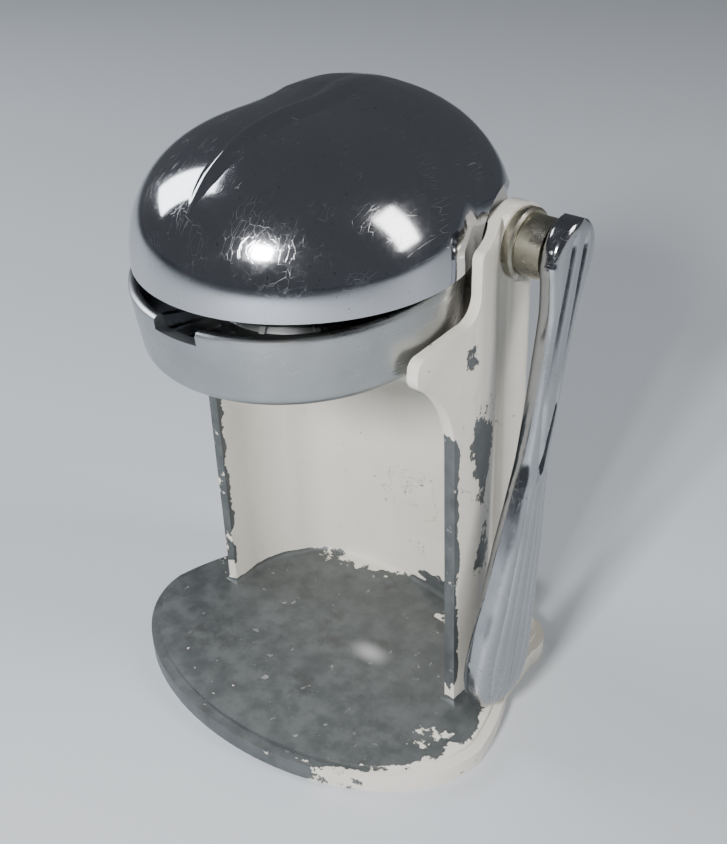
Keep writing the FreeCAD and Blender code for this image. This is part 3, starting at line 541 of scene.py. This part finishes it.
def aluminium(name, tint, base=0.26, grain=True):
    """Satin or cast aluminium with warm and cool stains and short scratches."""
    s = Shader(name)
    cloud = s.ramp(s.noise(22, 5.0, 0.6), 0.35, 0.7)
    lines = s.noise(60, 3.0, 0.6, stretch=(1.0, 1.0, 22.0)) if grain else s.noise(500, 4.0, 0.7)
    marks = s.scratches(190, (0.3, 0.2, 0.7))
    marks = s.math("MAXIMUM", marks, s.scratches(260, (1.1, 0.4, 1.9)), clamp=True)
    rough = s.math("ADD", s.ramp(cloud, 0, 1, base, base + 0.14), s.ramp(lines, 0.3, 0.7, -0.04, 0.06))
    color = s.mix(cloud, tint, darker(tint, 0.78))
    color = s.mix(s.ramp(s.noise(9, 2.0, offset=5.0), 0.5, 0.72, 0.0, 0.35), color, (0.52, 0.50, 0.40))
    color = s.mix(s.ramp(s.noise(11, 2.0, offset=9.0), 0.52, 0.74, 0.0, 0.28), color, (0.40, 0.46, 0.56))
    color = s.mix(s.math("MULTIPLY", marks, 0.35), color, (0.86, 0.86, 0.86))
    s.bump(s.math("ADD", s.math("MULTIPLY", lines, 0.5), s.math("MULTIPLY", marks, -0.5)), 0.16, 0.0004)
    return s.finish(color, 1.0, rough)


def nickel(name, tint):
    """Tarnished plating with dark spots."""
    s = Shader(name)
    cloud = s.ramp(s.noise(70, 5.0, 0.65), 0.36, 0.66)
    spots = s.ramp(s.noise(260, 3.0, 0.6, offset=2.0), 0.60, 0.68)
    color = s.mix(cloud, tint, (0.30, 0.29, 0.23))
    color = s.mix(s.math("MULTIPLY", spots, 0.7), color, (0.12, 0.11, 0.08))
    rough = s.math("ADD", s.ramp(cloud, 0, 1, 0.22, 0.46), s.math("MULTIPLY", spots, 0.2))
    s.bump(s.math("ADD", cloud, spots), 0.12, 0.0004)
    return s.finish(color, 1.0, rough)


# Where paint has come off the walls: centre, reach on each axis, strength.
BARE_PATCHES = (
    ((0.0555, 0.020, 0.105), (0.012, 0.016, 0.036), 1.15),
    ((0.0555, 0.014, 0.142), (0.010, 0.010, 0.016), 0.7),
    ((0.0545, 0.022, 0.062), (0.010, 0.012, 0.030), 0.7),
    ((0.050, 0.050, 0.158), (0.014, 0.014, 0.020), 0.62),
    ((-0.046, 0.036, 0.110), (0.012, 0.016, 0.020), 0.85),
    ((0.030, 0.048, 0.085), (0.014, 0.012, 0.022), 0.65),
    ((0.038, 0.044, 0.125), (0.012, 0.014, 0.016), 0.7),
    ((0.020, 0.050, 0.012), (0.040, 0.012, 0.010), 1.2),
    ((-0.030, 0.046, 0.060), (0.014, 0.012, 0.012), 0.55),
    ((-0.0515, 0.012, 0.128), (0.010, 0.012, 0.018), 0.8),
    ((-0.0515, 0.010, 0.090), (0.010, 0.010, 0.012), 0.6),
    ((0.0515, 0.020, 0.030), (0.010, 0.020, 0.012), 0.5),
    ((0.0555, 0.030, 0.085), (0.010, 0.018, 0.070), 0.45),
    ((0.0555, 0.048, 0.130), (0.010, 0.012, 0.040), 0.5),
    ((-0.0555, 0.026, 0.090), (0.010, 0.020, 0.060), 0.45),
    ((0.0, 0.0540, 0.060), (0.050, 0.008, 0.050), 0.35),
)


def front_edge_wear(s, y, z):
    """The front edges of the two walls are rubbed bare between base and bowl."""
    front = s.math("MULTIPLY", s.ramp(y, 0.0052, 0.0100, 1.0, 0.0), s.ramp(z, 0.012, 0.022))
    return s.math("MULTIPLY", front, s.ramp(z, 0.112, 0.132, 1.0, 0.0))


def platform_wear(s, x, y, z):
    """The base has lost its paint except towards the rear and in patches by the rim."""
    low = s.ramp(z, 0.0086, 0.0112, 1.0, 0.0)
    rear = s.ramp(y, 0.030, 0.062, 0.0, 1.3)
    edge = s.math("ADD", s.math("POWER", s.math("DIVIDE", x, 0.073), 2.0),
                  s.math("POWER", s.math("DIVIDE", s.math("ADD", y, 0.0044), 0.0465), 2.0))
    rim = s.ramp(edge, 0.80, 1.0, 0.0, 0.80)
    kept = s.math("MULTIPLY", rim, s.ramp(x, 0.010, 0.058, 0.15, 1.35))
    wear = s.math("SUBTRACT", s.math("SUBTRACT", 1.5, rear), kept)
    wear = s.math("SUBTRACT", wear, s.patch((x, y, z), (-0.062, 0.010, 0.006), (0.016, 0.018, 0.02), 0.75))
    wear = s.math("SUBTRACT", wear, s.patch((x, y, z), (0.056, -0.012, 0.006), (0.020, 0.016, 0.02), 0.80))
    return s.math("MULTIPLY", low, wear)


def paint():
    """Cream enamel on a grey casting, chipped and worn through where it is handled."""
    s = Shader("cream_paint_on_casting")
    x, y, z = s.axes()
    wide = s.noise(34, 6.0, 0.62)
    ragged = s.noise(120, 6.0, 0.66, offset=1.7)
    small = s.noise(310, 4.0, 0.6, offset=4.1)
    total = s.math("MULTIPLY", s.math("SUBTRACT", wide, 0.5), 1.8)
    total = s.math("ADD", total, s.math("MULTIPLY", s.math("SUBTRACT", ragged, 0.5), 2.4))
    total = s.math("ADD", total, s.math("MULTIPLY", s.math("SUBTRACT", small, 0.5), 0.7))
    total = s.math("ADD", total, s.math("MULTIPLY", front_edge_wear(s, y, z), 1.15))
    total = s.math("ADD", total, platform_wear(s, x, y, z))
    for centre, spread, strength in BARE_PATCHES:
        total = s.math("ADD", total, s.patch((x, y, z), centre, spread, strength))
    bare = s.ramp(total, 0.80, 0.86)
    halo = s.math("SUBTRACT", s.ramp(total, 0.70, 0.80), bare, clamp=True)
    specks = s.ramp(small, 0.715, 0.735)
    thread = s.math("ABSOLUTE", s.math("SUBTRACT", s.noise(24, 5.0, 0.6, offset=8.0), 0.5))
    thread_place = s.ramp(s.noise(19, 3.0, offset=2.6), 0.58, 0.64)
    line = s.math("MULTIPLY", s.ramp(thread, 0.0, 0.0022, 1.0, 0.0), thread_place)
    bare = s.math("MAXIMUM", bare, s.math("MAXIMUM", line, specks), clamp=True)
    stain = s.ramp(s.noise(14, 4.0, 0.6, offset=6.0), 0.45, 0.75)
    cream = s.mix(stain, (0.74, 0.71, 0.64), (0.66, 0.62, 0.54))
    cream = s.mix(s.math("MULTIPLY", halo, 0.6), cream, (0.80, 0.74, 0.62))
    grime = s.ramp(s.noise(75, 5.0, 0.65, offset=3.3), 0.58, 0.80, 0.0, 0.30)
    cream = s.mix(grime, cream, (0.40, 0.37, 0.30))
    metal = s.mix(s.ramp(ragged, 0.35, 0.68), (0.105, 0.116, 0.118), (0.150, 0.162, 0.164))
    soot = s.ramp(s.noise(48, 5.0, 0.7, offset=7.0), 0.55, 0.70, 0.0, 0.7)
    metal = s.mix(soot, metal, (0.085, 0.085, 0.085))
    glints = s.ramp(s.noise(210, 3.0, 0.6, offset=5.0), 0.66, 0.74, 0.0, 0.8)
    metal = s.mix(glints, metal, (0.36, 0.36, 0.35))
    rubbed = s.patch((x, y, z), (0.016, 0.007, 0.008), (0.010, 0.006, 0.004), 0.9)
    metal = s.mix(rubbed, metal, (0.50, 0.51, 0.52))
    color = s.mix(bare, cream, metal)
    rough = s.blend(bare, s.ramp(grime, 0.0, 0.3, 0.30, 0.5), s.ramp(ragged, 0.3, 0.7, 0.40, 0.58))
    texture = s.math("MULTIPLY", small, s.ramp(bare, 0, 1, 0.05, 0.22))
    s.bump(s.math("ADD", s.math("MULTIPLY", bare, -1.0), texture), 0.55, 0.0005)
    s.surface.inputs["Specular IOR Level"].default_value = 0.45
    return s.finish(color, s.math("MULTIPLY", bare, 0.55), rough)


def rubber():
    """Black rubber with pale dust."""
    s = Shader("black_rubber")
    dust = s.ramp(s.noise(160, 4.0), 0.5, 0.75)
    color = s.mix(dust, (0.018, 0.018, 0.018), (0.09, 0.085, 0.08))
    s.bump(s.noise(700, 2.0), 0.2, 0.0003)
    return s.finish(color, 0.0, s.ramp(dust, 0, 1, 0.6, 0.85))


CHROME = chrome("chrome_dome", (0.52, 0.53, 0.56), 0.06, 0.08)
# The lever's chrome tint is darker than the dome's: painted shade standing in for the darker reflections
# seen on the lever.
CHROME_LEVER = chrome("chrome_lever", (0.40, 0.41, 0.43), 0.09, 0.14)
BOWL = aluminium("satin_aluminium", (0.42, 0.44, 0.46))
ROUGH = aluminium("cast_aluminium_rough", (0.50, 0.50, 0.50), 0.42, grain=False)
NICKEL = nickel("tarnished_nickel", (0.46, 0.44, 0.38))
STEEL = nickel("plain_steel", (0.42, 0.42, 0.42))
PAINT = paint()
RUBBER = rubber()
FINISHES = {
    "column_base": PAINT, "rubber_feet": RUBBER, "right_bushing": NICKEL, "left_pivot_pin": NICKEL,
    "thrust_washers": STEEL, "bowl": BOWL, "bowl_spout": BOWL, "strainer": BOWL, "reamer_cone": BOWL,
    "crank_shaft": STEEL, "hub_pin": STEEL, "dog_pin": STEEL, "lever_hub": NICKEL, "drive_dog": STEEL,
    "lever": CHROME_LEVER, "lever_set_screw": STEEL, "head_shell": CHROME, "shell_screws": STEEL,
    "head_frame": ROUGH, "press_cup": BOWL, "cup_screw": STEEL, "cup_washer": STEEL, "cup_nut": STEEL,
}


def dress(item, material):
    item.data.materials.clear()
    item.data.materials.append(material)


for name, material in FINISHES.items():
    dress(nodes[name], material)

for builder, node, body, slot in (
    (build_head, "head_shell", "head", "chrome_shell"),
    (build_lever, "lever", "crank", "chrome_lever"),
    (build_bowl, "bowl", "stand", "cast_aluminium"),
    (build_column, "column_base", "stand", "painted_casting"),
):
    skin = builder()
    dress(skin, FINISHES[node])
    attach(skin, body)
    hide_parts(node)

# ---------------------------------------------------------------- stage, light, camera

FLOOR_SIZE = 6.0
WORLD_COLOR = (0.55, 0.58, 0.64, 1.0)
WORLD_STRENGTH = 0.17
CAMERA_TURN = 41.69
CAMERA_LIFT = 31.64
CAMERA_ROLL = -2.17
CAMERA_PLACE = (0.2451, -0.2487, 0.3196)
CAMERA_LENS = 52.63


def add_floor():
    bpy.ops.mesh.primitive_plane_add(size=FLOOR_SIZE, location=(0, 0, 0))
    floor = bpy.context.object
    floor.name = "floor"
    floor.data.materials.append(Shader("pale_floor").finish((0.60, 0.64, 0.68), 0.0, 0.6))


def add_world():
    world = bpy.data.worlds.new("studio")
    bpy.context.scene.world = world
    world.use_nodes = True
    background = world.node_tree.nodes["Background"]
    background.inputs["Color"].default_value = WORLD_COLOR
    background.inputs["Strength"].default_value = WORLD_STRENGTH


def add_lamp(name, place, target, size, energy, color=(1, 1, 1)):
    data = bpy.data.lights.new(name, "AREA")
    data.shape = "RECTANGLE"
    data.size, data.size_y = size
    data.energy = energy
    data.color = color
    item = bpy.data.objects.new(name, data)
    item.location = place
    item.rotation_euler = (Vector(target) - Vector(place)).to_track_quat("-Z", "Y").to_euler()
    bpy.context.scene.collection.objects.link(item)


def add_camera():
    """A camera at an azimuth and elevation, rolled a little about its own axis."""
    turn = math.radians(CAMERA_TURN)
    lift = math.radians(CAMERA_LIFT)
    roll = math.radians(CAMERA_ROLL)
    back = Vector((math.sin(turn) * math.cos(lift), -math.cos(turn) * math.cos(lift), math.sin(lift)))
    right = Vector((math.cos(turn), math.sin(turn), 0))
    up = back.cross(right)
    across = math.cos(roll) * right + math.sin(roll) * up
    above = -math.sin(roll) * right + math.cos(roll) * up
    camera = bpy.data.objects.new("camera", bpy.data.cameras.new("camera"))
    matrix = Matrix.Translation(Vector(CAMERA_PLACE))
    for row in range(3):
        matrix[row][:3] = across[row], above[row], back[row]
    camera.matrix_world = matrix
    camera.data.lens = CAMERA_LENS
    camera.data.sensor_width = 36.0
    camera.data.clip_start = 0.01
    bpy.context.scene.collection.objects.link(camera)
    bpy.context.scene.camera = camera


add_floor()
add_world()
add_lamp("key", (0.22, -0.80, 0.62), (0, 0, 0.12), (0.16, 0.16), 14.0)
add_lamp("fill", (-1.1, -0.2, 0.9), (0, 0, 0.1), (0.5, 0.9), 11.0, (0.95, 0.97, 1.0))
add_lamp("right", (1.1, 0.5, 0.8), (0, 0, 0.1), (0.4, 0.8), 9.0, (1.0, 0.98, 0.95))
add_camera()
